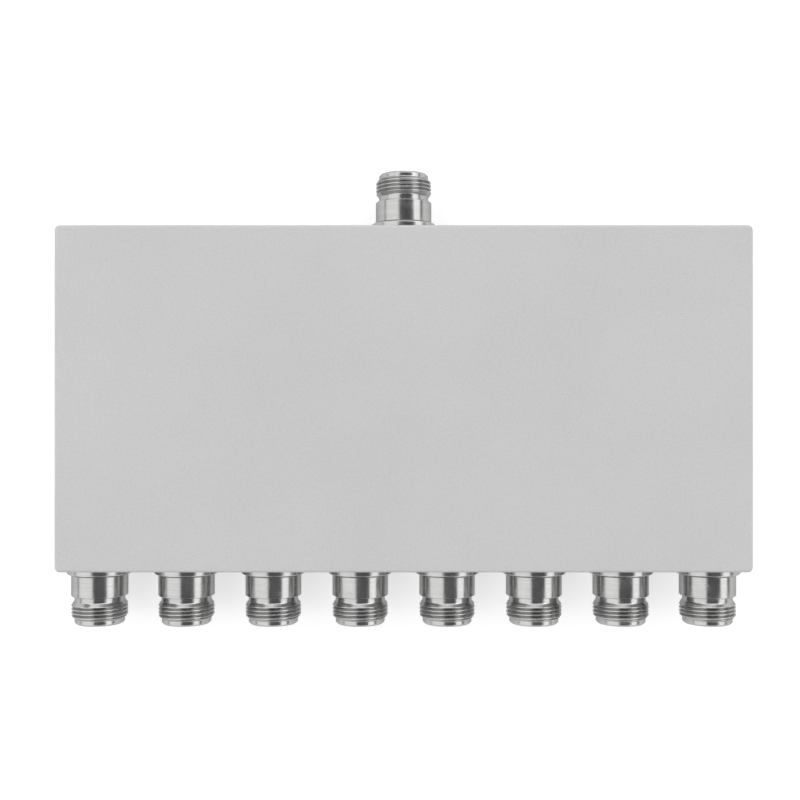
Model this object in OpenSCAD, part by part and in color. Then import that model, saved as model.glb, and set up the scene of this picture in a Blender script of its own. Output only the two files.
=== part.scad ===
// Eight-way radio frequency power splitter: a shallow tray with a back cover, eight output jacks along
// one long wall and one input jack in the other. The part lies on its back cover. +Z points out of the
// plain front face, +X runs along the row of outputs and +Y points to the input jack.
// All sizes are in millimetres.

/* [Housing] */
// Distance from the axis of an outermost output jack to the end of the housing
end_margin = 10; // [9.5:0.5:20]
// Length of the housing from the output wall to the input wall
housing_l = 97; // [92:1:120]
// Height of the tray without its back cover
tray_h = 20; // [19.6:0.2:26]
// Thickness of the front wall
front_wall = 2.5; // [1.5:0.1:3]
// Thickness of the two long walls that carry the jacks
jack_wall = 6; // [5.6:0.1:8]
// Thickness of the two end walls
end_wall = 3.5; // [2:0.1:4]
// Radius of the upright corners
corner_r = 1.4; // [1:0.1:3]
// Radius of the edge round the front face
edge_r = 0.8; // [0.4:0.1:1]
// Radius of the upright corners inside the tray
cavity_r = 3; // [2:0.5:5]

/* [Back cover] */
// Thickness of the back cover
cover_t = 2; // [1.8:0.1:4]
// Bevel round both faces of the back cover
cover_bevel = 0.3; // [0.1:0.1:0.5]
// Distance of the cover screws on the end walls from the middle of the housing
end_screw_y = 28; // [15:1:34]
// Inset of the cover screws on the end walls from the end of the housing
end_screw_inset = 3.2; // [3.1:0.1:4]
// Radius of the screw bosses on the end walls
boss_r = 3; // [2.4:0.1:3]

/* [Jacks] */
// Distance between neighbouring output jacks
jack_pitch = 25; // [22:0.5:32]
// Diameter of the round flange
flange_d = 18.4; // [17.6:0.1:18.6]
// Thickness of the flange
flange_t = 1.6; // [1:0.1:3]
// Gap between the flange and the seam of the back cover
flange_lift = 0.2; // [0.1:0.1:0.6]
// Diameter of the plain body
body_d = 16; // [15:0.1:16.4]
// Length of the plain body
body_l = 6.3; // [4:0.1:9]
// Diameter of the relief groove behind the thread
groove_d = 14.2; // [12:0.1:14.4]
// Length of the floor of the relief groove
groove_l = 1.4; // [0.4:0.1:3]
// Major diameter of the coupling thread, 5/8 inch
thread_d = 15.875; // [15.4:0.005:16.2]
// Length of the full thread
thread_l = 3.4; // [2.5:0.1:8]
// Diameter of the plain pilot tip in front of the thread
tip_d = 14.1; // [12:0.1:14.6]
// Length of the pilot tip
tip_l = 1.5; // [1:0.1:3]
// Diameter of the spigot that screws into the wall
spigot_d = 12; // [10.5:0.1:12.4]
// Diameter of the coupling bore
bore_d = 8.1; // [7.6:0.1:9]
// Depth of the coupling bore
bore_depth = 9.1; // [8:0.1:10]

/* [Insulators and contacts] */
// Diameter of the insulator
bead_d = 7; // [5:0.1:7.2]
// Diameter of the collar at the rear of the insulator
collar_d = 8.4; // [7.8:0.1:9]
// Length of the collar
collar_l = 5; // [2:0.1:5.5]
// Diameter of the socket contact
contact_d = 3.04; // [2.6:0.02:3.6]
// Length of the contact in front of the insulator
contact_l = 5.26; // [4:0.02:6]
// Length of the thick part of the contact that sits in the insulator
contact_seat_l = 3; // [1.5:0.1:5]
// Diameter of the hole in the contact
contact_hole_d = 1.66; // [1.4:0.02:2]
// Depth of the hole in the contact
contact_hole_l = 5.6; // [4:0.1:6.5]
// Width of the four spring slots in the contact
slot_w = 0.3; // [0.2:0.05:0.5]
// Length of the four spring slots
slot_l = 4; // [2:0.1:5]
// Diameter of the soldered tail
tail_d = 1.4; // [1.2:0.1:2]
// Length of the tail inside the housing
tail_l = 6; // [3:0.5:9]
// Height of the milled flat above the axis of the tail
tail_flat = 0.45; // [0.3:0.05:0.55]

/* [Circuit board] */
// Thickness of the board
board_t = 1.6; // [0.8:0.1:2]
// Gap between the board and the tray
board_gap = 0.5; // [0.3:0.1:1]
// Thickness of the strip conductors
strip_t = 0.1; // [0.05:0.01:0.2]
// Width of the plain strip lines
line_w = 2.6; // [1.6:0.1:3]
// Width of the strip in the divider rings
ring_w = 1.2; // [0.8:0.1:1.6]
// Outer radius of the divider rings
ring_r = 4.5; // [4:0.1:4.7]
// Gap between the two arms of a divider
arm_gap = 2; // [1.6:0.1:2.2]
// Length of the input line from the edge of the board to the first divider
feed_l = 6.5; // [6.5:0.1:8]
// Length of the line between one level of dividers and the next
link_l = 4.2; // [3.8:0.1:4.6]
// Length of a chip resistor
chip_l = 3.2; // [3:0.1:4]
// Width of a chip resistor
chip_w = 1.6; // [1:0.1:2]
// Height of a chip resistor
chip_t = 0.55; // [0.3:0.05:1]

/* [Fasteners] */
// Diameter of the screws
screw_d = 2.5; // [2:0.1:2.6]
// Length of a cover screw
cover_screw_l = 8; // [5:0.5:10]
// Diameter of the countersunk heads
sink_head_d = 4.7; // [4.2:0.1:4.9]
// Depth of the countersunk heads under the back face
sink_depth = 0.1; // [0.05:0.05:0.3]
// Length of the shank of a board screw
board_screw_l = 5.5; // [4:0.5:6]
// Diameter of the board screws' pan heads
pan_head_d = 4.5; // [4:0.1:5]
// Height of the board screws' pan heads
pan_head_h = 1.5; // [1:0.1:2]
// Diameter of the posts that carry the board
post_d = 7; // [5:0.5:8]
// Inset of the row of posts next to the input from the edge of the board
post_inset_input = 11.5; // [9:0.5:12]
// Inset of the row of posts next to the outputs from the edge of the board
post_inset_output = 9.5; // [8:0.5:10]
// Distance of the middle post from the middle of the housing
post_middle_y = 4; // [0:0.5:6]

/* [Mounting holes] */
// Diameter of the tapped mounting holes
mount_hole_d = 3.3; // [2.5:0.1:3.4]
// Depth of the tapped mounting holes in the tray
mount_hole_l = 8; // [5:0.5:12]
// Diameter of the clearance holes in the back cover
mount_clear_d = 4.5; // [3.6:0.1:4.8]

/* [Clearances] */
// Radial clearance of a screw in its hole
screw_gap = 0.05; // [0.03:0.01:0.1]
// Radial clearance of a screw in the cover or the board
screw_pass = 0.15; // [0.1:0.05:0.3]
// Radial clearance of a spigot in its wall
spigot_gap = 0.05; // [0.03:0.01:0.1]
// Radial clearance of the insulator and of the contact
bead_gap = 0.03; // [0.02:0.01:0.06]
// Depth of a screw hole past the end of its screw
hole_spare = 1; // [0.5:0.1:2]

/* [Hidden] */
$fn = 64;
hull_fn = 32;
edge_steps = hull_fn / 4;
cut = 1;
output_count = 8;
levels = 3;
// Small bevels on turned and countersunk edges
flange_bevel = 0.3;
body_bevel = 0.2;
tip_bevel = 0.5;
mouth_bevel = 0.3;
spigot_bevel = 0.4;
contact_bevel = 0.25;
head_bevel = 0.4;
// Mitre of the strip lines as a share of their width, and their step back from a divider's slot
mitre = 0.6;
arm_step = 0.2;

// The box: outline, heights and the inside of the tray
housing_w = (output_count - 1) * jack_pitch + 2 * end_margin;
box_t = cover_t + tray_h;
ceiling_z = box_t - front_wall;
cavity_w = housing_w - 2 * end_wall;
cavity_l = housing_l - 2 * jack_wall;
axis_z = cover_t + flange_lift + flange_d / 2;
outputs = [for (i = [1:output_count]) i];

// Stations along the jack, measured outwards from the face of the wall
body_end = flange_t + body_l;
groove_end = body_end + groove_l;
thread_start = groove_end + (thread_d - groove_d) / 2;
thread_end = thread_start + thread_l;
tip_start = thread_end + (thread_d - tip_d) / 2;
jack_l = tip_start + tip_l;
bead_front = jack_l - bore_depth;
collar_front = collar_l - jack_wall;
contact_front = bead_front + contact_l;
contact_seat = bead_front - contact_seat_l;

// The board hangs under its posts, with its strip conductors on the contacts' flats
strip_z = axis_z + tail_flat;
board_z = strip_z + strip_t;
board_top = board_z + board_t;
board_w = housing_w - 2 * (end_screw_inset + boss_r + board_gap);
board_l = cavity_l - 2 * board_gap;

// The divider tree: each divider is two rings one above the other
divider_l = 4 * ring_r - ring_w;
ring_step = 2 * ring_r - ring_w;
line_offset = arm_gap / 2 + arm_step + line_w / 2;
dividers = [
    for (level = [0:levels - 1], k = [0:pow(2, level) - 1])
        [divider_x(level, k), divider_top(level), level]
];
chip_drops = [ring_step + ring_w / 2, divider_l - ring_w / 2];
chips = [for (d = dividers, drop = chip_drops) [d[0], d[1] - drop]];
chip_numbers = [for (i = [1:len(chips)]) i];

// Places of the screws, posts and mounting holes, in steps of the jacks' pitch and so between the jacks
screw_steps = [-3, -1, 1, 3];
mount_steps = [-2, 2];
output_post_steps = [-2, 0, 2];
wall_y = housing_l / 2 - jack_wall / 2;
end_x = housing_w / 2 - end_screw_inset;
wall_screws = [for (k = screw_steps, side = [-1, 1]) [k * jack_pitch, side * wall_y]];
end_screws = [for (side = [-1, 1], row = [-1, 1]) [side * end_x, row * end_screw_y]];
cover_screw_places = concat(wall_screws, end_screws);
input_post_y = board_l / 2 - post_inset_input;
output_post_y = post_inset_output - board_l / 2;
post_places = concat(
    [for (k = screw_steps) [k * jack_pitch, input_post_y]],
    [for (k = output_post_steps) [k * jack_pitch, output_post_y]],
    [[0, post_middle_y]]
);
mount_places = [for (k = mount_steps, side = [-1, 1]) [k * jack_pitch, side * wall_y]];

plain_nodes = [
    "housing", "back_cover", "cover_screws", "splitter_board", "strip_conductors", "board_screws",
    "input_shell", "input_insulator", "input_contact"
];
output_nodes = [
    for (i = outputs, piece = ["shell", "insulator", "contact"])
        str("output_", i, "_", piece)
];
chip_nodes = [for (i = chip_numbers) str("isolation_resistor_", i)];

// Position of the k-th divider of a level along the row, and the height of its upper ring
function divider_x(level, k) = (k - (pow(2, level) - 1) / 2) * jack_pitch * pow(2, levels - level);
function divider_top(level) = board_l / 2 - feed_l - level * (divider_l + link_l);

// Position of an output jack along the row
function output_x(i) = (i - (output_count + 1) / 2) * jack_pitch;

// Puts a jack piece, drawn along +Z with the wall's face at zero, on the output wall
module on_output_wall(i) {
    translate([output_x(i), -housing_l / 2, axis_z]) rotate([90, 0, 0]) children();
}

// Puts a jack piece on the input wall
module on_input_wall() {
    rotate([0, 0, 180]) translate([0, -housing_l / 2, axis_z]) rotate([90, 0, 0]) children();
}

// Puts a shape at each place of a list, at height z
module at_places(places, z) {
    for (p = places) translate([p[0], p[1], z]) children();
}

// Upright post at a corner of the tray, with its top edge rounded
module corner_post() {
    round_top = [
        for (step = [0:edge_steps]) let (a = 90 * step / edge_steps)
            [corner_r - edge_r + edge_r * cos(a), tray_h - edge_r + edge_r * sin(a)]
    ];
    rotate_extrude($fn = hull_fn) polygon(concat([[0, 0], [corner_r, 0]], round_top, [[0, tray_h]]));
}

// Solid block of the tray
module tray_block() {
    corner_x = housing_w / 2 - corner_r;
    corner_y = housing_l / 2 - corner_r;
    translate([0, 0, cover_t]) hull() {
        for (x = [-corner_x, corner_x], y = [-corner_y, corner_y]) translate([x, y, 0]) corner_post();
    }
}

// Space inside the tray, open at the back
module tray_cavity() {
    corner_x = cavity_w / 2 - cavity_r;
    corner_y = cavity_l / 2 - cavity_r;
    depth = ceiling_z - cover_t + cut;
    translate([0, 0, cover_t - cut]) hull() {
        for (x = [-corner_x, corner_x], y = [-corner_y, corner_y])
            translate([x, y, 0]) cylinder(r = cavity_r, h = depth, $fn = hull_fn);
    }
}

// Hole for a jack's spigot, run on past the wall so that it clears the tray's inner corners
module spigot_hole() {
    run = jack_wall + cavity_r;
    translate([0, 0, -run]) cylinder(d = spigot_d + 2 * spigot_gap, h = run + cut);
}

module housing() {
    hole_d = screw_d + 2 * screw_gap;
    cover_hole_l = cover_screw_l - cover_t + hole_spare;
    post_l = ceiling_z - board_top;
    boss_l = ceiling_z - cover_t;
    color("lightgray") difference() {
        union() {
            difference() {
                tray_block();
                tray_cavity();
            }
            at_places(post_places, board_top) cylinder(d = post_d, h = post_l + front_wall / 2);
            at_places(end_screws, cover_t) cylinder(r = boss_r, h = boss_l + front_wall / 2);
        }
        for (i = outputs) on_output_wall(i) spigot_hole();
        on_input_wall() spigot_hole();
        at_places(cover_screw_places, cover_t - cut) cylinder(d = hole_d, h = cover_hole_l + cut);
        at_places(mount_places, cover_t - cut) cylinder(d = mount_hole_d, h = mount_hole_l + cut);
        at_places(post_places, board_top - cut) cylinder(d = hole_d, h = post_l + cut);
    }
}

// Countersunk hole in the cover, wide end on the back face
module sink_hole() {
    pass_d = screw_d + 2 * screw_pass;
    mouth_d = sink_head_d + 2 * (sink_depth + screw_gap);
    depth = (mouth_d - pass_d) / 2;
    translate([0, 0, -cut]) cylinder(d = pass_d, h = cover_t + 2 * cut);
    cylinder(d1 = mouth_d, d2 = pass_d, h = depth);
    translate([0, 0, -cut]) cylinder(d = mouth_d, h = cut);
}

// Upright post at a corner of the cover, with both its edges bevelled
module cover_post() {
    rotate_extrude($fn = hull_fn) polygon([
        [0, 0],
        [corner_r - cover_bevel, 0],
        [corner_r, cover_bevel],
        [corner_r, cover_t - cover_bevel],
        [corner_r - cover_bevel, cover_t],
        [0, cover_t]
    ]);
}

module back_cover() {
    corner_x = housing_w / 2 - corner_r;
    corner_y = housing_l / 2 - corner_r;
    color("gainsboro") difference() {
        hull() {
            for (x = [-corner_x, corner_x], y = [-corner_y, corner_y]) translate([x, y, 0]) cover_post();
        }
        at_places(cover_screw_places, 0) sink_hole();
        at_places(mount_places, -cut) cylinder(d = mount_clear_d, h = cover_t + 2 * cut);
    }
}

// Countersunk screw with its head at zero and its shank along +Z
module sink_screw() {
    cone_h = (sink_head_d - screw_d) / 2;
    rotate_extrude() polygon([
        [0, 0],
        [sink_head_d / 2, 0],
        [screw_d / 2, cone_h],
        [screw_d / 2, cover_screw_l - head_bevel],
        [screw_d / 2 - head_bevel, cover_screw_l],
        [0, cover_screw_l]
    ]);
}

module cover_screws() {
    color("silver") at_places(cover_screw_places, sink_depth) sink_screw();
}

module splitter_board() {
    hole_d = screw_d + 2 * screw_pass;
    color("seagreen") difference() {
        translate([-board_w / 2, -board_l / 2, board_z]) cube([board_w, board_l, board_t]);
        at_places(post_places, board_z - cut) cylinder(d = hole_d, h = board_t + 2 * cut);
    }
}

// Flat outline of one divider ring
module ring_outline() {
    difference() {
        circle(r = ring_r);
        circle(r = ring_r - ring_w);
    }
}

// Flat outline of one divider: two rings, split down the middle below the point where the line comes in
module divider_outline() {
    slot_top = ring_w - 2 * ring_r + cut;
    difference() {
        union() {
            translate([0, -ring_r]) ring_outline();
            translate([0, -ring_r - ring_step]) ring_outline();
        }
        translate([-arm_gap / 2, -divider_l - cut]) square([arm_gap, divider_l + cut + slot_top]);
    }
}

// Flat strip that goes down from y0, across to x1 and down to y2, with its outer corners mitred.
// Its outline runs counterclockwise to either side.
module stepped_strip(x0, y0, y1, x1, y2) {
    h = line_w / 2;
    m = line_w * mitre;
    d = sign(x1 - x0);
    outline = [
        [x0 - d * h, y0],
        [x0 - d * h, y1 - h + m],
        [x0 - d * (h - m), y1 - h],
        [x1 - d * h, y1 - h],
        [x1 - d * h, y2],
        [x1 + d * h, y2],
        [x1 + d * h, y1 + h - m],
        [x1 + d * (h - m), y1 + h],
        [x0 + d * h, y1 + h],
        [x0 + d * h, y0]
    ];
    last = len(outline) - 1;
    polygon([for (i = [0:last]) outline[d > 0 ? i : last - i]]);
}

// The two lines from a divider to the next level, or to the output jacks
module divider_lines(x, top, level) {
    reach = jack_pitch * pow(2, levels - level) / 4;
    line_y = top - divider_l;
    start_y = line_y + ring_r / 2;
    end_y = level == levels - 1 ? -board_l / 2 : divider_top(level + 1) - ring_w / 2;
    for (side = [-1, 1]) stepped_strip(x + side * line_offset, start_y, line_y, x + side * reach, end_y);
}

module strip_conductors() {
    feed_y = divider_top(0) - ring_w / 2;
    color("darkgoldenrod") translate([0, 0, strip_z]) linear_extrude(strip_t) {
        translate([-line_w / 2, feed_y]) square([line_w, board_l / 2 - feed_y]);
        for (d = dividers) {
            translate([d[0], d[1]]) divider_outline();
            divider_lines(d[0], d[1], d[2]);
        }
    }
}

// Chip resistor across the two arms of a divider
module isolation_resistor(i) {
    place = chips[i - 1];
    color("dimgray") translate([place[0] - chip_l / 2, place[1] - chip_w / 2, strip_z - chip_t])
        cube([chip_l, chip_w, chip_t]);
}

// Pan head screw, head below zero and shank along +Z
module pan_screw() {
    rotate_extrude() polygon([
        [0, -pan_head_h],
        [pan_head_d / 2 - head_bevel, -pan_head_h],
        [pan_head_d / 2, head_bevel - pan_head_h],
        [pan_head_d / 2, 0],
        [screw_d / 2, 0],
        [screw_d / 2, board_screw_l - head_bevel],
        [screw_d / 2 - head_bevel, board_screw_l],
        [0, board_screw_l]
    ]);
}

module board_screws() {
    color("silver") at_places(post_places, board_z) pan_screw();
}

// Turned shell of a jack: spigot, flange, body, relief groove, thread and pilot tip
module jack_shell() {
    bead_r = bead_d / 2 + bead_gap;
    collar_r = collar_d / 2 + bead_gap;
    color("silver") rotate_extrude() polygon([
        [collar_r, -jack_wall],
        [spigot_d / 2 - spigot_bevel, -jack_wall],
        [spigot_d / 2, spigot_bevel - jack_wall],
        [spigot_d / 2, 0],
        [flange_d / 2, 0],
        [flange_d / 2, flange_t - flange_bevel],
        [flange_d / 2 - flange_bevel, flange_t],
        [body_d / 2, flange_t],
        [body_d / 2, body_end - body_bevel],
        [body_d / 2 - body_bevel, body_end],
        [groove_d / 2, body_end],
        [groove_d / 2, groove_end],
        [thread_d / 2, thread_start],
        [thread_d / 2, thread_end],
        [tip_d / 2, tip_start],
        [tip_d / 2, jack_l - tip_bevel],
        [tip_d / 2 - tip_bevel, jack_l],
        [bore_d / 2 + mouth_bevel, jack_l],
        [bore_d / 2, jack_l - mouth_bevel],
        [bore_d / 2, bead_front],
        [bead_r, bead_front],
        [bead_r, collar_front],
        [collar_r, collar_front]
    ]);
}

// Stepped insulator, its collar seated on the step inside the shell
module jack_insulator() {
    seat_r = contact_d / 2 + bead_gap;
    tail_r = tail_d / 2 + bead_gap;
    color("white") rotate_extrude() polygon([
        [tail_r, -jack_wall],
        [collar_d / 2, -jack_wall],
        [collar_d / 2, collar_front],
        [bead_d / 2, collar_front],
        [bead_d / 2, bead_front],
        [seat_r, bead_front],
        [seat_r, contact_seat],
        [tail_r, contact_seat]
    ]);
}

// Slotted socket contact with its shoulder seated in the insulator and a flat on its soldered tail
module jack_contact() {
    tail_end = -jack_wall - tail_l;
    hole_end = contact_front - contact_hole_l;
    color("gold") difference() {
        rotate_extrude() polygon([
            [0, tail_end],
            [tail_d / 2, tail_end],
            [tail_d / 2, contact_seat],
            [contact_d / 2, contact_seat],
            [contact_d / 2, contact_front - contact_bevel],
            [contact_d / 2 - contact_bevel, contact_front],
            [contact_hole_d / 2, contact_front],
            [contact_hole_d / 2, hole_end],
            [0, hole_end]
        ]);
        for (turn = [0, 90]) rotate([0, 0, turn])
            translate([-slot_w / 2, -contact_d, contact_front - slot_l])
                cube([slot_w, 2 * contact_d, slot_l + cut]);
        translate([-tail_d, tail_flat, tail_end - cut]) cube([2 * tail_d, tail_d, tail_l + cut]);
    }
}

housing();
back_cover();
cover_screws();
splitter_board();
strip_conductors();
board_screws();
on_input_wall() jack_shell();  // input_shell
on_input_wall() jack_insulator();  // input_insulator
on_input_wall() jack_contact();  // input_contact
for (i = outputs) {
    on_output_wall(i) jack_shell();
    on_output_wall(i) jack_insulator();
    on_output_wall(i) jack_contact();
}
for (i = chip_numbers) {
    isolation_resistor(i);
}
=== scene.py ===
"""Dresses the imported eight-way radio frequency splitter and sets it in a plain studio.

The box, its cover, the insulators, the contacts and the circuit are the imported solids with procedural
finishes. The nine turned jack shells and the twelve cover screws are worked out here as numpy surfaces of
revolution, so that their cut threads, eased edges and driver recesses show. Everything is in metres in the
frame of the part: +Z out of the plain front face, +X along the row of outputs, +Y towards the input.
"""

import logging
import math
from dataclasses import dataclass, field
from enum import Enum
from typing import Callable

import bpy
import numpy as np
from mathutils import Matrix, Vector


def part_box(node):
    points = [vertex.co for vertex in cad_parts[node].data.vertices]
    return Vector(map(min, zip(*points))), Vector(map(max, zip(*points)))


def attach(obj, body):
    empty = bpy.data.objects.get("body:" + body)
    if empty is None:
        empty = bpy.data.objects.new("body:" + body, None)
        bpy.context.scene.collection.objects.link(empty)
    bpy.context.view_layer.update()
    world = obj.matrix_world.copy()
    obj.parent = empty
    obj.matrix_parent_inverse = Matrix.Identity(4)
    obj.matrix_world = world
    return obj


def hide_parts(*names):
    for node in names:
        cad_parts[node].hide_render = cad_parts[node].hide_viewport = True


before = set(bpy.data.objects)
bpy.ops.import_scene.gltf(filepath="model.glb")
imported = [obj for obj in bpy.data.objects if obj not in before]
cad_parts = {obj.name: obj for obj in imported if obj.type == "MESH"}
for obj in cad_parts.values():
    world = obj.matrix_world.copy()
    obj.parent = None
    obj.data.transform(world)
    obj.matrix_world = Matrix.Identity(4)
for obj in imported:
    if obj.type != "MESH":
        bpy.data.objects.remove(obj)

log = logging.getLogger("splitter")
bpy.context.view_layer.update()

MM = 0.001
BODY = "root"
OUTPUTS = 8
RESISTORS = 14

# Most of what a noise texture gives lies in this range
NOISE_SPAN = (0.3, 0.7)
# An eased corner takes up to one part in EASE_PARTS of its shorter side, its holding points one in HOLD_PARTS
EASE_PARTS = 3.0
HOLD_PARTS = 2.2
WHITE = (1.0, 1.0, 1.0, 1.0)

Colour = tuple[float, float, float]
Range = tuple[float, float]
Value = float | Colour | bpy.types.NodeSocket


class Wall(Enum):
    """The two long walls that carry jacks, each by the way it faces along Y."""

    OUTPUT = -1
    INPUT = 1


class Graph:
    """A node tree with short ways to add nodes, fill their inputs and link them."""

    def __init__(self, tree: bpy.types.NodeTree) -> None:
        """Keeps the tree that the nodes go into."""
        self.tree = tree

    def add(
        self, kind: str, sockets: dict[str | int, Value] | None = None, **settings: object
    ) -> bpy.types.Node:
        """Adds a node.

        Args:
            kind: Blender's name of the node type.
            sockets: what goes into its inputs, a value or another node's output.
            **settings: properties to set on the node before its inputs are filled.

        Returns:
            The new node.
        """
        node = self.tree.nodes.new(kind)
        for name, setting in settings.items():
            setattr(node, name, setting)
        for key, value in (sockets or {}).items():
            self.fill(node.inputs[key], value)
        return node

    def fill(self, socket: bpy.types.NodeSocket, value: Value) -> None:
        """Links an output to the socket, or sets the socket's own value.

        Args:
            socket: the input to fill.
            value: a node's output, a number or a colour without alpha.
        """
        if isinstance(value, bpy.types.NodeSocket):
            self.tree.links.new(value, socket)
        elif isinstance(value, tuple) and socket.type == "RGBA":
            socket.default_value = (*value, 1.0)
        else:
            socket.default_value = value

    def math(self, operation: str, first: Value, second: Value = 0.0) -> bpy.types.NodeSocket:
        """Returns the result of one arithmetic step on two numbers."""
        return self.add("ShaderNodeMath", {0: first, 1: second}, operation=operation).outputs[0]

    def remap(self, value: Value, source: Range, target: Range) -> bpy.types.NodeSocket:
        """Carries a number smoothly from one range to another and holds it at the ends.

        Args:
            value: the number to carry over.
            source: the range that it comes in.
            target: the range that it goes to.

        Returns:
            The output with the number in the new range.
        """
        sockets = {0: value, 1: source[0], 2: source[1], 3: target[0], 4: target[1]}
        return self.add("ShaderNodeMapRange", sockets, interpolation_type="SMOOTHSTEP").outputs[0]

    def tone(self, marks: Value, amount: Value) -> bpy.types.NodeSocket:
        """Returns a tone of one, raised or lowered by the marks times the amount."""
        sockets = {0: marks, 1: amount, 2: 1.0}
        return self.add("ShaderNodeMath", sockets, operation="MULTIPLY_ADD").outputs[0]

    def mixed(self, first: Value, second: Value, share: float) -> bpy.types.NodeSocket:
        """Returns the share of the first number and the rest of the second, added up."""
        rest = self.math("MULTIPLY", second, 1.0 - share)
        return self.math("ADD", self.math("MULTIPLY", first, share), rest)

    def noise(self, vector: Value, scale: float, detail: float = 2.0) -> bpy.types.NodeSocket:
        """Returns soft random values about one half, with the given number of features in a metre."""
        sockets = {"Vector": vector, "Scale": scale, "Detail": detail}
        return self.add("ShaderNodeTexNoise", sockets).outputs[0]

    def tinted(self, tone: Value, colour: Colour) -> bpy.types.NodeSocket:
        """Returns the colour made lighter or darker by the tone, where a tone of one leaves it as it is."""
        sockets = {0: 1.0, 6: colour, 7: tone}
        return self.add("ShaderNodeMix", sockets, data_type="RGBA", blend_type="MULTIPLY").outputs[2]

    def bump(self, height: Value, depth: float, strength: float) -> bpy.types.NodeSocket:
        """Returns normals that follow a height from nought to one, which stands for a depth in metres."""
        sockets = {"Strength": strength, "Distance": depth, "Height": height}
        return self.add("ShaderNodeBump", sockets).outputs[0]


@dataclass(frozen=True)
class Effect:
    """A surface effect that several finishes share, kept as one node group.

    Its group turns a place on the part and an amount into a tone about one, a gloss change about nought and
    a height between nought and one.
    """

    name: str
    draw: Callable[[Graph, bpy.types.NodeSocket, bpy.types.NodeSocket], tuple[Value, Value, Value]]

    def tree(self) -> bpy.types.NodeTree:
        """Returns the effect's node group, drawn once."""
        known = bpy.data.node_groups.get(self.name)
        if known:
            return known
        tree = bpy.data.node_groups.new(self.name, "ShaderNodeTree")
        tree.interface.new_socket("Place", in_out="INPUT", socket_type="NodeSocketVector")
        tree.interface.new_socket("Amount", in_out="INPUT", socket_type="NodeSocketFloat")
        for name in ("Tone", "Gloss", "Height"):
            tree.interface.new_socket(name, in_out="OUTPUT", socket_type="NodeSocketFloat")
        graph = Graph(tree)
        entry = graph.add("NodeGroupInput")
        leave = graph.add("NodeGroupOutput")
        for socket, value in zip(leave.inputs, self.draw(graph, entry.outputs[0], entry.outputs[1])):
            graph.fill(socket, value)
        return tree


def draw_coat_grain_and_painted_specks(graph: Graph, place: Value, amount: Value) -> tuple[Value, Value, Value]:
    """Draws a sprayed powder coat: orange peel, a painted highlight as pale specks on its crests, painted shade
    as dark specks in its pits, and a random drift of tone.

    Args:
        graph: the group to draw in.
        place: the place on the part.
        amount: how far the painted highlight and shade specks and the drift leave the coat's own tone.

    Returns:
        The tone, the gloss change and the height.
    """
    peel = graph.noise(place, scale=900.0)
    fine = graph.noise(place, scale=2600.0, detail=1.0)
    cloud = graph.noise(place, scale=28.0)
    # Painted highlight on the crests of the fine relief, painted shade in its pits
    crest = graph.remap(fine, (0.54, 0.70), (0.0, 1.0))
    painted_pit_shade = graph.remap(fine, (0.30, 0.44), (-1.0, 0.0))
    drift = graph.remap(cloud, NOISE_SPAN, (-0.25, 0.25))
    speck_light_and_drift = graph.math("ADD", graph.math("ADD", crest, painted_pit_shade), drift)
    gloss = graph.remap(peel, NOISE_SPAN, (0.06, -0.06))
    return graph.tone(speck_light_and_drift, amount), gloss, graph.mixed(peel, fine, share=0.7)


def draw_lathe_marks(graph: Graph, place: Value, amount: Value) -> tuple[Value, Value, Value]:
    """Draws the rings that a lathe tool leaves, packed along Y and long round the jack, with faint stains.

    Args:
        graph: the group to draw in.
        place: the place on the part.
        amount: how far the rings and stains leave the metal's own tone.

    Returns:
        The tone, the gloss change and the height.
    """
    squeeze = {0: place, 1: (0.04, 1.0, 0.0)}
    stretched = graph.add("ShaderNodeVectorMath", squeeze, operation="MULTIPLY").outputs[0]
    rings = graph.noise(stretched, scale=9000.0, detail=1.0)
    waves = graph.noise(stretched, scale=1500.0)
    stain = graph.noise(place, scale=260.0, detail=3.0)
    waver = graph.remap(waves, NOISE_SPAN, (-0.6, 0.6))
    blotch = graph.remap(stain, NOISE_SPAN, (-0.7, 0.7))
    dulled = graph.remap(stain, (0.35, 0.75), (-0.02, 0.05))
    ringed = graph.remap(rings, NOISE_SPAN, (-0.02, 0.03))
    tone = graph.tone(graph.math("ADD", waver, blotch), amount)
    return tone, graph.math("ADD", dulled, ringed), graph.mixed(rings, waves, share=0.35)


def draw_mottle(graph: Graph, place: Value, amount: Value) -> tuple[Value, Value, Value]:
    """Draws the even mottle of a moulded, fired or etched surface.

    Args:
        graph: the group to draw in.
        place: the place on the part.
        amount: how far the mottle leaves the surface's own tone.

    Returns:
        The tone, the gloss change and the height.
    """
    broad = graph.noise(place, scale=320.0, detail=3.0)
    fine = graph.noise(place, scale=4200.0)
    clouds = graph.remap(broad, NOISE_SPAN, (-0.6, 0.6))
    grain = graph.remap(fine, NOISE_SPAN, (-0.4, 0.4))
    tone = graph.tone(graph.math("ADD", clouds, grain), amount)
    return tone, graph.remap(broad, NOISE_SPAN, (-0.05, 0.05)), fine


def draw_weave(graph: Graph, place: Value, amount: Value) -> tuple[Value, Value, Value]:
    """Draws the glass cloth that shows through a circuit board: two sets of threads that cross.

    Args:
        graph: the group to draw in.
        place: the place on the part.
        amount: how far the threads leave the board's own tone.

    Returns:
        The tone, the gloss change and the height.
    """
    threads = {"Vector": place, "Scale": 420.0, "Distortion": 0.6}
    along = graph.add("ShaderNodeTexWave", threads, bands_direction="X").outputs["Fac"]
    across = graph.add("ShaderNodeTexWave", threads, bands_direction="Y").outputs["Fac"]
    cloth = graph.math("MULTIPLY", along, across)
    tone = graph.tone(graph.remap(cloth, (0.0, 1.0), (-1.0, 1.0)), amount)
    return tone, graph.remap(cloth, (0.0, 1.0), (0.04, -0.04)), cloth


COAT_GRAIN_AND_SPECK_LIGHT = Effect("coat_grain_and_painted_specks", draw_coat_grain_and_painted_specks)
LATHE_MARKS = Effect("lathe_marks", draw_lathe_marks)
MOTTLE = Effect("mottle", draw_mottle)
WEAVE = Effect("glass_weave", draw_weave)


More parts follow.
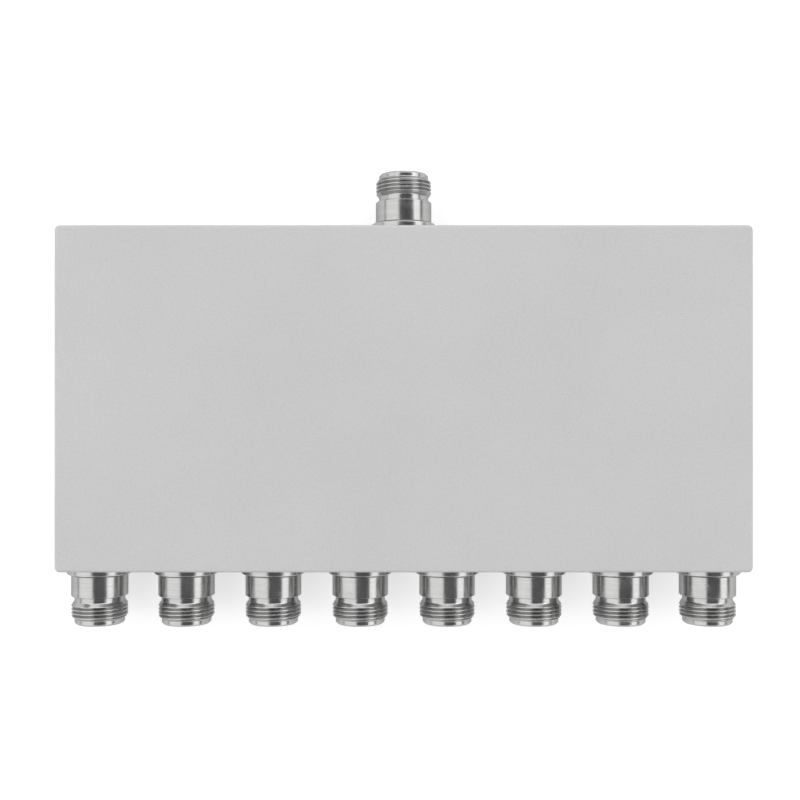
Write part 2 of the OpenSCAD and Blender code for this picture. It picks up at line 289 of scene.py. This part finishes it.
@dataclass(frozen=True)
class Finish:
    """A procedural finish: its own colour and gloss, and the effect that breaks them up.

    The amount goes to the effect's tone, the relief is the depth of its bumps in metres, the rim tints what is
    mirrored at a glancing angle, and the painted edge highlight lightens the colour of eased edges that stand
    out.
    """

    name: str
    slot: str
    colour: Colour
    roughness: float
    effect: Effect
    amount: float
    relief: float
    relief_strength: float = 1.0
    metallic: float = 0.0
    specular: float = 0.5
    rim: float = 1.0
    subsurface: float = 0.0
    subsurface_depth: float = 0.4 * MM
    painted_edge_highlight: float = 0.0

    def make(self) -> bpy.types.Material:
        """Returns the finish as a material, made once."""
        known = bpy.data.materials.get(self.name)
        if known:
            return known
        material = bpy.data.materials.new(self.name)
        material.use_nodes = True
        graph = Graph(material.node_tree)
        shader = material.node_tree.nodes["Principled BSDF"]
        place = graph.add("ShaderNodeTexCoord").outputs["Object"]
        effect = graph.add("ShaderNodeGroup", node_tree=self.effect.tree())
        graph.fill(effect.inputs["Place"], place)
        effect.inputs["Amount"].default_value = self.amount
        tone: Value = effect.outputs["Tone"]
        gloss = graph.math("ADD", effect.outputs["Gloss"], self.roughness)
        # Painted highlight: eased edges that stand out get a lighter colour
        if self.painted_edge_highlight:
            edge = graph.add("ShaderNodeAttribute", attribute_name="edge").outputs["Fac"]
            tone = graph.math("ADD", tone, graph.math("MULTIPLY", edge, self.painted_edge_highlight))
        graph.fill(shader.inputs["Base Color"], graph.tinted(tone, self.colour))
        graph.fill(shader.inputs["Roughness"], gloss)
        normal = graph.bump(effect.outputs["Height"], self.relief, self.relief_strength)
        graph.fill(shader.inputs["Normal"], normal)
        shader.inputs["Metallic"].default_value = self.metallic
        shader.inputs["Specular IOR Level"].default_value = self.specular
        shader.inputs["Specular Tint"].default_value = (self.rim, self.rim, self.rim, 1.0)
        if self.subsurface:
            shader.inputs["Subsurface Weight"].default_value = self.subsurface
            shader.inputs["Subsurface Radius"].default_value = (1.0, 1.0, 1.0)
            shader.inputs["Subsurface Scale"].default_value = self.subsurface_depth
        return material

    def put_on(self, *names: str) -> None:
        """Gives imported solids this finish.

        Args:
            *names: the solids' node names.
        """
        material = self.make()
        for name in names:
            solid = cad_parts[name]
            if not solid.material_slots:
                solid.data.materials.append(material)
            for material_slot in solid.material_slots:
                material_slot.material = material
            log.info("%s: packed solid, %s", name, self.name)


# The coat's effect paints pale highlight specks on its crests and dark shade specks in its pits
POWDER_COAT = Finish(
    "grey_powder_coat", "grey_coat", (0.495, 0.495, 0.495), roughness=0.5,
    effect=COAT_GRAIN_AND_SPECK_LIGHT, amount=0.07, relief=0.05 * MM, relief_strength=0.35,
)
# Its eased edges that stand out get a painted highlight
NICKEL = Finish(
    "bright_nickel", "jack_nickel", (0.415, 0.415, 0.411), roughness=0.21,
    effect=LATHE_MARKS, amount=0.06, relief=0.004 * MM, relief_strength=0.5,
    metallic=1.0, rim=0.55, painted_edge_highlight=0.08,
)
FLUOROPOLYMER = Finish(
    "white_fluoropolymer", "white_insulator", (0.86, 0.86, 0.84), roughness=0.42,
    effect=MOTTLE, amount=0.03, relief=0.01 * MM, relief_strength=0.4, subsurface=0.3,
)
GOLD = Finish(
    "gold_plate", "contact_gold", (0.93, 0.66, 0.27), roughness=0.17,
    effect=LATHE_MARKS, amount=0.05, relief=0.003 * MM, relief_strength=0.5, metallic=1.0,
)
LAMINATE = Finish(
    "board_laminate", "board_laminate", (0.055, 0.2, 0.09), roughness=0.38,
    effect=WEAVE, amount=0.14, relief=0.02 * MM, relief_strength=0.4,
)
COPPER = Finish(
    "etched_copper", "strip_copper", (0.86, 0.47, 0.31), roughness=0.32,
    effect=MOTTLE, amount=0.1, relief=0.006 * MM, relief_strength=0.5, metallic=1.0,
)
CHIP = Finish(
    "fired_chip", "chip_body", (0.024, 0.024, 0.026), roughness=0.4,
    effect=MOTTLE, amount=0.25, relief=0.01 * MM, relief_strength=0.5,
)
# Its eased edges that stand out get a painted highlight
SCREW_STEEL = Finish(
    "plated_steel", "screw_steel", (0.64, 0.635, 0.62), roughness=0.2,
    effect=MOTTLE, amount=0.07, relief=0.004 * MM, relief_strength=0.5,
    metallic=1.0, painted_edge_highlight=0.06,
)


@dataclass(frozen=True)
class Corner:
    """One corner of a turned profile: its radius, its place along the axis and its ease, in mm."""

    radius: float
    along: float
    ease: float


def eased_profile(corners: list[Corner], closed: bool, steps: int = 5, hold: float = 0.04) -> np.ndarray:
    """Works out a turned profile whose corners are small arcs.

    Each corner is a quadratic arc between the points that lie its ease away along its two sides, and each
    arc has a holding point on either side that keeps the shading of the plain lengths flat.

    Args:
        corners: the profile's corners in order.
        closed: whether the last corner joins the first. In an open profile they only give the sides that
            lead to their neighbours.
        steps: the number of lengths in each arc.
        hold: the distance of the holding points from the arc, in mm.

    Returns:
        Rows of radius, place along the axis and a mark that is one on an eased corner that stands out, where a
        painted edge highlight goes.
    """
    points = np.array([(c.radius, c.along) for c in corners])
    ease = np.array([c.ease for c in corners])
    before, after = np.roll(points, 1, 0) - points, np.roll(points, -1, 0) - points
    back, ahead = np.linalg.norm(before, axis=1), np.linalg.norm(after, axis=1)
    before, after = before / back[:, None], after / ahead[:, None]
    shorter = np.minimum(back, ahead)
    cut = np.minimum(ease, shorter / EASE_PARTS)
    stand = np.minimum(cut + hold, shorter / HOLD_PARTS)[:, None, None]
    cut, middle = cut[:, None, None], points[:, None]
    start, end = middle + before[:, None] * cut, middle + after[:, None] * cut
    share = np.linspace(0.0, 1.0, steps + 1)[None, :, None]
    arcs = (1 - share) ** 2 * start + 2 * share * (1 - share) * middle + share**2 * end
    held = [middle + before[:, None] * stand, arcs, middle + after[:, None] * stand]
    rows = np.concatenate(held, axis=1)
    proud = (before[:, 0] * after[:, 1] - before[:, 1] * after[:, 0]) < 0
    mark = np.zeros(rows.shape[:2])
    mark[:, 1:-1] = proud[:, None] * (ease > 0)[:, None]
    profile = np.concatenate([rows, mark[:, :, None]], axis=2)
    if not closed:
        profile = profile[1:-1]
    return profile.reshape(-1, 3)


def with_rows(profile: np.ndarray, start: float, end: float, step: float, least: float) -> np.ndarray:
    """Adds evenly spaced rows to the outer side of a profile, where a thread needs them.

    Args:
        profile: rows of radius, place and mark.
        start: where the added rows start along the axis.
        end: where they end.
        step: the distance between rows.
        least: rows of the profile with a smaller radius aren't on its outer side.

    Returns:
        The profile with its outer rows between start and end replaced by the even ones.
    """
    outer = (profile[:, 1] > start) & (profile[:, 1] < end) & (profile[:, 0] > least)
    first, last = np.flatnonzero(outer)[[0, -1]]
    along = np.linspace(start, end, int(round((end - start) / step)) + 1)
    known = profile[first - 1 : last + 2]
    rows = np.stack([np.interp(along, known[:, 1], known[:, column]) for column in range(3)], axis=1)
    return np.concatenate([profile[:first], rows[1:-1], profile[last + 1 :]])


def grid_faces(rows: int, columns: int, wrap_rows: bool) -> np.ndarray:
    """Works out the four corners of each cell of a grid whose columns close into rings.

    Args:
        rows: the number of rings.
        columns: the number of points in a ring.
        wrap_rows: whether the last ring joins the first.

    Returns:
        One row of four point numbers for each cell, wound so that a turned profile that runs out along its
        outer side faces outwards.
    """
    spans = rows if wrap_rows else rows - 1
    row, column = np.meshgrid(np.arange(spans), np.arange(columns), indexing="ij")
    here, there = row * columns, (row + 1) % rows * columns
    after = (column + 1) % columns
    cells = [here + column, here + after, there + after, there + column]
    return np.stack(cells, axis=-1).reshape(-1, 4)


def make_piece(
    name: str, points: np.ndarray, faces: list[list[int]], finish: Finish, edge: np.ndarray
) -> bpy.types.Object:
    """Puts a worked out surface into the scene as a piece that rides on the part.

    Args:
        name: the piece's name.
        points: its points in metres, in the part's frame.
        faces: the point numbers of each face.
        finish: the finish that it gets.
        edge: for each point, how far it lies on an eased edge, from nought to one, which sets its painted edge
            highlight.

    Returns:
        The new object.
    """
    mesh = bpy.data.meshes.new(name)
    mesh.from_pydata(points.tolist(), [], faces)
    mesh.polygons.foreach_set("use_smooth", np.ones(len(mesh.polygons), dtype=bool))
    mesh.attributes.new("edge", "FLOAT", "POINT").data.foreach_set("value", edge.astype(np.float32))
    mesh.materials.append(finish.make())
    mesh.validate()
    mesh.update()
    piece = bpy.data.objects.new(name, mesh)
    bpy.context.scene.collection.objects.link(piece)
    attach(piece, BODY)
    log.info("%s: %d faces, %s", name, len(faces), finish.name)
    return piece


@dataclass
class JackShell:
    """The turned shell of one coaxial jack, with its thread cut. Sizes are in millimetres.

    Places along the axis are measured outwards from the face of the wall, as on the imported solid. The rows of
    the thread reach past it by the row margin, and the outer margin tells its side from the bore.
    """

    node: str
    wall: Wall
    turn: float = math.pi
    jack_wall: float = 6.0
    spigot_d: float = 12.0
    flange_d: float = 18.4
    flange_t: float = 1.6
    body_d: float = 16.0
    body_l: float = 6.3
    body_bevel: float = 0.2
    groove_d: float = 14.2
    groove_l: float = 1.4
    thread_d: float = 15.875
    lead_l: float = 1.0
    thread_l: float = 3.2375
    tip_d: float = 14.1
    tip_l: float = 1.5
    bore_d: float = 8.1
    bore_depth: float = 9.1
    bead_d: float = 7.06
    collar_d: float = 8.46
    collar_l: float = 5.0
    thread_pitch: float = 25.4 / 24.0
    thread_depth: float = 0.7
    crest_share: float = 0.25
    crest_ease: float = 0.07
    flank_angle: float = 30.0
    run_in: float = 0.7
    relief: float = 0.16
    flange_bevel: float = 0.3
    tip_bevel: float = 0.5
    mouth_bevel: float = 0.3
    spigot_bevel: float = 0.4
    columns: int = 144
    thread_step: float = 0.048
    row_margin: float = 0.3
    outer_margin: float = 0.5

    @property
    def body_end(self) -> float:
        """Where the body ends at the shoulder of the groove."""
        return self.flange_t + self.body_l

    @property
    def groove_end(self) -> float:
        """Where the lead of the thread rises from the groove."""
        return self.body_end + self.groove_l

    @property
    def thread_start(self) -> float:
        """Where the full thread starts, at the top of its lead."""
        return self.groove_end + self.lead_l

    @property
    def tip_start(self) -> float:
        """Where the bevel in front of the thread meets the pilot tip."""
        return self.thread_start + self.thread_l + (self.thread_d - self.tip_d) / 2

    @property
    def length(self) -> float:
        """How far the jack stands out of its wall."""
        return self.tip_start + self.tip_l

    @property
    def outer_least(self) -> float:
        """The radius that only the outer side of the thread exceeds."""
        return self.groove_d / 2 - self.outer_margin

    def corners(self) -> list[Corner]:
        """Returns the shell's profile, out along its outer side and back through its bore."""
        wall, length, bead_front = self.jack_wall, self.length, self.length - self.bore_depth
        body_foot = self.body_d / 2 - self.relief
        return [
            Corner(self.collar_d / 2, -wall, 0.03),
            Corner(self.spigot_d / 2 - self.spigot_bevel, -wall, 0.05),
            Corner(self.spigot_d / 2, self.spigot_bevel - wall, 0.05),
            Corner(self.spigot_d / 2, 0.0, 0.02),
            Corner(self.flange_d / 2, 0.0, 0.08),
            Corner(self.flange_d / 2, self.flange_t - self.flange_bevel, 0.12),
            Corner(self.flange_d / 2 - self.flange_bevel, self.flange_t, 0.12),
            Corner(body_foot, self.flange_t, 0.03),
            Corner(body_foot, self.flange_t + self.relief, 0.04),
            Corner(self.body_d / 2, self.flange_t + 2 * self.relief, 0.08),
            Corner(self.body_d / 2, self.body_end - self.body_bevel, 0.07),
            Corner(self.body_d / 2 - self.body_bevel, self.body_end, 0.07),
            Corner(self.groove_d / 2, self.body_end, 0.1),
            Corner(self.groove_d / 2, self.groove_end, 0.2),
            Corner(self.thread_d / 2, self.thread_start, 0.05),
            Corner(self.thread_d / 2, self.thread_start + self.thread_l, 0.05),
            Corner(self.tip_d / 2, self.tip_start, 0.12),
            Corner(self.tip_d / 2, length - self.tip_bevel, 0.12),
            Corner(self.tip_d / 2 - self.tip_bevel, length, 0.1),
            Corner(self.bore_d / 2 + self.mouth_bevel, length, 0.08),
            Corner(self.bore_d / 2, length - self.mouth_bevel, 0.08),
            Corner(self.bore_d / 2, bead_front, 0.05),
            Corner(self.bead_d / 2, bead_front, 0.03),
            Corner(self.bead_d / 2, self.collar_l - wall, 0.03),
            Corner(self.collar_d / 2, self.collar_l - wall, 0.03),
        ]

    def threaded(self, radius: np.ndarray, along: np.ndarray, angle: np.ndarray) -> np.ndarray:
        """Cuts the thread into a grid of radii.

        The thread's own radius depends on how far a point lies from the nearest crest of a right-hand
        helix: it stays full over the crest, turns over on a short parabola, falls off on straight flanks and
        ends at the root. Its depth grows from nought over the run-in, which ends where the full thread
        starts. The smaller of that radius and the profile's own radius is kept, so the bevels at either end
        run the thread out.

        Args:
            radius: the profile's own radii, one row for each ring.
            along: the places of the rings along the axis.
            angle: the angles of the columns.

        Returns:
            The radii with the thread in them.
        """
        pitch = self.thread_pitch
        phase = (along - pitch * (angle + self.turn) / (2 * math.pi)) / pitch
        off_crest = np.abs(phase - np.round(phase)) * pitch
        past, ease = off_crest - pitch * self.crest_share / 2, self.crest_ease
        past = np.where(np.abs(past) < ease, (past + ease) ** 2 / (4 * ease), np.maximum(past, 0.0))
        flank = np.minimum(past / math.tan(math.radians(self.flank_angle)), self.thread_depth)
        flank = flank * np.clip((along - self.thread_start) / self.run_in + 1.0, 0.0, 1.0)
        inside = (along > self.groove_end) & (along < self.tip_start) & (radius > self.outer_least)
        return np.where(inside, np.minimum(radius, self.thread_d / 2 - flank), radius)

    def build(self) -> bpy.types.Object:
        """Makes the shell on its wall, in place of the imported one.

        Returns:
            The new piece.
        """
        low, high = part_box(self.node)
        facing = float(self.wall.value)
        rear = high[1] if self.wall is Wall.OUTPUT else low[1]
        face = rear + facing * self.jack_wall * MM
        origin = np.array([(low[0] + high[0]) / 2, face, (low[2] + high[2]) / 2])
        start, end = self.groove_end - self.row_margin, self.tip_start + self.row_margin
        profile = eased_profile(self.corners(), closed=True)
        profile = with_rows(profile, start, end, self.thread_step, self.outer_least)
        angle = np.linspace(0.0, 2 * math.pi, self.columns, endpoint=False)[None, :]
        along = profile[:, 1:2]
        radius = self.threaded(np.repeat(profile[:, :1], self.columns, 1), along, angle)
        side = np.array([-facing, 0.0, 0.0])
        offsets = (
            (radius * np.cos(angle))[:, :, None] * side
            + (radius * np.sin(angle))[:, :, None] * np.array([0.0, 0.0, 1.0])
            + (along + 0.0 * angle)[:, :, None] * np.array([0.0, facing, 0.0])
        )
        points = (origin + offsets * MM).reshape(-1, 3)
        faces = grid_faces(len(profile), self.columns, wrap_rows=True).tolist()
        edge = np.repeat(profile[:, 2], self.columns)
        piece = make_piece(f"{self.node}_turned", points, faces, NICKEL, edge)
        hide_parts(self.node)
        return piece


@dataclass
class CoverScrews:
    """The countersunk screws that hold the cover, with cross recesses. Sizes are in millimetres.

    The depth is how far the heads lie under the cover's face, and each screw is turned on from the one before
    it by the turn step, in radians.
    """

    node: str = "cover_screws"
    depth: float = 0.1
    shank_d: float = 2.5
    head_d: float = 4.7
    length: float = 8.0
    end_bevel: float = 0.4
    wing_reach: float = 1.32
    wing_half_width: float = 0.3
    recess_depth: float = 1.15
    recess_fall: float = 0.6
    recess_ease: float = 0.12
    rim: float = 0.12
    side_lead: float = 0.1
    turn_step: float = 2.399
    wall_row: tuple[float, ...] = (-75.0, -25.0, 25.0, 75.0)
    end_row: tuple[float, ...] = (-28.0, 28.0)
    columns: int = 72
    head_rings: int = 26

    def places(self) -> list[tuple[float, float]]:
        """Returns the middles of the screws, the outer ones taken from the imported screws' box."""
        end_x, wall_y, _ = np.array(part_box(self.node)[1]) / MM - self.head_d / 2
        walls = [(x, side * wall_y) for x in self.wall_row for side in (-1, 1)]
        return walls + [(side * end_x, y) for side in (-1, 1) for y in self.end_row]

    def recess(self, x: np.ndarray, y: np.ndarray) -> np.ndarray:
        """Works out how deep the cross recess is at places on the head.

        The recess is two crossed wings. The depth falls in a straight line from the middle to the ends of
        the wings, and steep smooth walls close each wing at its sides and its end.

        Args:
            x: places along one wing.
            y: places along the other wing.

        Returns:
            The depths.
        """
        reach = np.hypot(x, y)
        across = np.minimum(np.abs(x), np.abs(y))
        ease = self.recess_ease
        wall = np.clip((self.wing_half_width + ease / 2 - across) / ease, 0.0, 1.0)
        end = np.clip((self.wing_reach + ease / 2 - reach) / ease, 0.0, 1.0)
        fall = self.recess_fall * np.clip(reach / self.wing_reach, 0.0, 1.0)
        floor = self.recess_depth * (1.0 - fall)
        return floor * wall * end

    def build(self) -> bpy.types.Object:
        """Makes all the screws as one piece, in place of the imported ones.

        Each screw is turned from a profile that runs from the middle of its head to the end of its shank,
        and the rings on its flat head are pushed in by the recess.

        Returns:
            The new piece.
        """
        head, shank, cone = self.head_d / 2, self.shank_d / 2, (self.head_d - self.shank_d) / 2
        flat = np.linspace(0.0, head - self.rim, self.head_rings + 1)[1:]
        rings = np.stack([flat, np.zeros_like(flat), np.zeros_like(flat)], axis=1)
        rest = eased_profile(
            [
                Corner(head - self.side_lead, 0.0, 0.0),
                Corner(head, 0.0, 0.06),
                Corner(shank, cone, 0.1),
                Corner(shank, self.length - self.end_bevel, 0.06),
                Corner(shank - self.end_bevel, self.length, 0.06),
                Corner(self.side_lead, self.length, 0.0),
            ],
            closed=False,
        )
        profile = np.concatenate([rings, rest])
        columns, count, places = self.columns, len(profile), self.places()
        angle = np.linspace(0.0, 2 * math.pi, columns, endpoint=False)[None, :]
        px, py = profile[:, :1] * np.cos(angle), profile[:, :1] * np.sin(angle)
        on_head = (np.arange(count) < self.head_rings)[:, None]
        pz = self.depth + np.where(on_head, self.recess(px, py), profile[:, 1:2])
        pole, last, ring = count * columns, (count - 1) * columns, np.arange(columns)
        after = (ring + 1) % columns
        cells = grid_faces(count, columns, wrap_rows=False)
        head_fan = np.stack([np.full_like(ring, pole), after, ring], axis=1)
        end_fan = np.stack([np.full_like(ring, pole + 1), last + ring, last + after], axis=1)
        points, faces = [], []
        for number, (x, y) in enumerate(places):
            cos, sin = math.cos(self.turn_step * number), math.sin(self.turn_step * number)
            grid = np.stack([x + (px * cos - py * sin), y + (px * sin + py * cos), pz], axis=-1)
            poles = np.array([[x, y, self.depth + self.recess_depth], [x, y, self.depth + self.length]])
            points += [grid.reshape(-1, 3), poles]
            first = number * (pole + len(poles))
            for part in (cells, head_fan, end_fan):
                faces += (first + part).tolist()
        edge = np.tile(np.append(np.repeat(profile[:, 2], columns), [0.0, 0.0]), len(places))
        piece = make_piece("cover_screws_driven", np.concatenate(points) * MM, faces, SCREW_STEEL, edge)
        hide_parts(self.node)
        return piece


@dataclass(frozen=True)
class Flag:
    """A dark card high over the part, which draws a dark stripe on the bright metal, in metres."""

    name: str
    low: tuple[float, float]
    high: tuple[float, float]
    height: float = 2.5
    tone: float = 0.2
    roughness: float = 0.9

    def build(self) -> bpy.types.Object:
        """Makes the card."""
        (x0, y0), (x1, y1), z = self.low, self.high, self.height
        mesh = bpy.data.meshes.new(self.name)
        mesh.from_pydata([(x0, y0, z), (x0, y1, z), (x1, y1, z), (x1, y0, z)], [], [(0, 1, 2, 3)])
        material = bpy.data.materials.new(self.name)
        material.use_nodes = True
        shader = material.node_tree.nodes["Principled BSDF"]
        shader.inputs["Base Color"].default_value = (self.tone, self.tone, self.tone, 1.0)
        shader.inputs["Roughness"].default_value = self.roughness
        mesh.materials.append(material)
        card = bpy.data.objects.new(self.name, mesh)
        bpy.context.scene.collection.objects.link(card)
        return card


@dataclass(frozen=True)
class SoftBox:
    """A large even lamp. Its place and reach are angles from straight up, in degrees, towards +X and +Y.

    The glow is its brightness, where one is the white of a fully lit table.
    """

    name: str
    lean: tuple[float, float]
    reach: tuple[float, float]
    glow: float
    distance: float = 2.0

    def build(self) -> bpy.types.Object:
        """Makes the lamp, turned to the part and hidden from the camera.

        The reach is half the lamp's upright angle and half its level angle, so each side is twice the
        distance times the tangent, and the power is the glow times pi times the area.

        Returns:
            The new lamp.
        """
        data = bpy.data.lights.new(self.name, "AREA")
        data.shape = "RECTANGLE"
        upright, level = (2 * self.distance * math.tan(math.radians(angle)) for angle in self.reach)
        data.size, data.size_y = level, upright
        data.energy = self.glow * math.pi * level * upright
        way = Vector([math.tan(math.radians(angle)) for angle in self.lean] + [1.0]).normalized()
        lamp = bpy.data.objects.new(self.name, data)
        lamp.location = way * self.distance
        lamp.rotation_euler = (-way).to_track_quat("-Z", "Y").to_euler()
        lamp.visible_camera = False
        bpy.context.scene.collection.objects.link(lamp)
        return lamp


@dataclass
class Studio:
    """The white table, the tent with its soft boxes and dark cards, and the camera, in metres.

    The table's glow rises to full white over the floor fade, a range of distances from the part. The tent
    darkens over the tent step, a range of upward shares of a direction. Lens and sensor are in millimetres.
    """

    camera_place: tuple[float, float, float] = (-0.00104, -0.00035, 0.3316)
    lens: float = 50.0
    sensor: float = 36.0
    clip: Range = (0.01, 20.0)
    floor_half: float = 4.0
    floor_white: float = 0.5
    floor_glow: float = 0.64
    floor_fade: Range = (1.0, 2.5)
    floor_roughness: float = 0.85
    floor_specular: float = 0.1
    tent_low: float = 1.0
    tent_high: float = 0.12
    tent_step: Range = (0.11, 0.17)
    soft_boxes: list[SoftBox] = field(
        default_factory=lambda: [
            SoftBox("left_soft_box", (-47.0, -8.0), (30.0, 50.0), 1.42),
            SoftBox("right_soft_box", (56.0, -8.0), (15.0, 50.0), 1.82),
            SoftBox("rear_soft_box", (14.0, 48.0), (20.0, 40.0), 1.9),
            SoftBox("front_soft_box", (-8.0, -52.0), (15.0, 40.0), 0.4),
        ]
    )
    flags: list[Flag] = field(
        default_factory=lambda: [
            Flag("camera_side_card", (-0.13, -1.6), (1.69, 0.1)),
            Flag("far_side_card", (-1.69, 0.2), (0.13, 1.0)),
        ]
    )

    def build(self) -> None:
        """Makes the whole studio."""
        self.build_camera()
        self.build_floor()
        self.build_tent()
        for piece in (*self.soft_boxes, *self.flags):
            piece.build()
        bpy.context.scene.view_settings.view_transform = "Standard"
        counts = len(self.soft_boxes), len(self.flags)
        log.info("studio: camera, table, tent, %d soft boxes, %d cards", *counts)

    def build_camera(self) -> None:
        """Makes the camera, over the front face with the input jack at the top of the picture."""
        data = bpy.data.cameras.new("camera")
        data.lens, data.sensor_width = self.lens, self.sensor
        data.clip_start, data.clip_end = self.clip
        camera = bpy.data.objects.new("camera", data)
        camera.location = self.camera_place
        bpy.context.scene.collection.objects.link(camera)
        bpy.context.scene.camera = camera

    def build_floor(self) -> None:
        """Makes the table top, which glows a little where it is seen so that it comes out white."""
        half = self.floor_half
        mesh = bpy.data.meshes.new("table")
        corners = [(-half, -half, 0), (half, -half, 0), (half, half, 0), (-half, half, 0)]
        mesh.from_pydata(corners, [], [(0, 1, 2, 3)])
        material = bpy.data.materials.new("white_table")
        material.use_nodes = True
        graph = Graph(material.node_tree)
        shader = material.node_tree.nodes["Principled BSDF"]
        place = graph.add("ShaderNodeTexCoord").outputs["Object"]
        tone = graph.remap(graph.noise(place, scale=6.0), NOISE_SPAN, (0.99, 1.01))
        graph.fill(shader.inputs["Base Color"], graph.tinted(tone, (self.floor_white,) * 3))
        shader.inputs["Roughness"].default_value = self.floor_roughness
        shader.inputs["Specular IOR Level"].default_value = self.floor_specular
        path = graph.add("ShaderNodeLightPath")
        seen = graph.math("MAXIMUM", path.outputs["Is Camera Ray"], path.outputs["Is Glossy Ray"])
        seen = graph.math("MAXIMUM", seen, path.outputs["Is Transmission Ray"])
        reach = graph.add("ShaderNodeVectorMath", {0: place}, operation="LENGTH").outputs["Value"]
        glow = graph.remap(reach, self.floor_fade, (self.floor_glow, 1.0))
        shader.inputs["Emission Color"].default_value = WHITE
        graph.fill(shader.inputs["Emission Strength"], graph.math("MULTIPLY", seen, glow))
        mesh.materials.append(material)
        table = bpy.data.objects.new("table", mesh)
        bpy.context.scene.collection.objects.link(table)

    def build_tent(self) -> None:
        """Makes the tent: white at the level of the table, dark from a few degrees above it."""
        world = bpy.data.worlds.new("light_tent")
        world.use_nodes = True
        graph = Graph(world.node_tree)
        background = world.node_tree.nodes["Background"]
        way = graph.add("ShaderNodeTexCoord").outputs["Generated"]
        height = graph.add("ShaderNodeSeparateXYZ", {0: way}).outputs["Z"]
        glow = graph.remap(height, self.tent_step, (self.tent_low, self.tent_high))
        graph.fill(background.inputs["Strength"], glow)
        background.inputs["Color"].default_value = WHITE
        bpy.context.scene.world = world


def dress_solids() -> None:
    """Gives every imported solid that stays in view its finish."""
    ports = ["input"] + [f"output_{number}" for number in range(1, OUTPUTS + 1)]
    POWDER_COAT.put_on("housing", "back_cover")
    FLUOROPOLYMER.put_on(*[f"{port}_insulator" for port in ports])
    GOLD.put_on(*[f"{port}_contact" for port in ports])
    LAMINATE.put_on("splitter_board")
    COPPER.put_on("strip_conductors")
    CHIP.put_on(*[f"isolation_resistor_{number}" for number in range(1, RESISTORS + 1)])
    SCREW_STEEL.put_on("board_screws")


def main() -> None:
    """Builds the studio, dresses the solids and makes the turned pieces."""
    logging.basicConfig(level=logging.INFO, format="%(name)s %(message)s")
    Studio().build()
    dress_solids()
    JackShell("input_shell", Wall.INPUT).build()
    for number in range(1, OUTPUTS + 1):
        JackShell(f"output_{number}_shell", Wall.OUTPUT).build()
    CoverScrews().build()


if __name__ == "__main__":
    main()
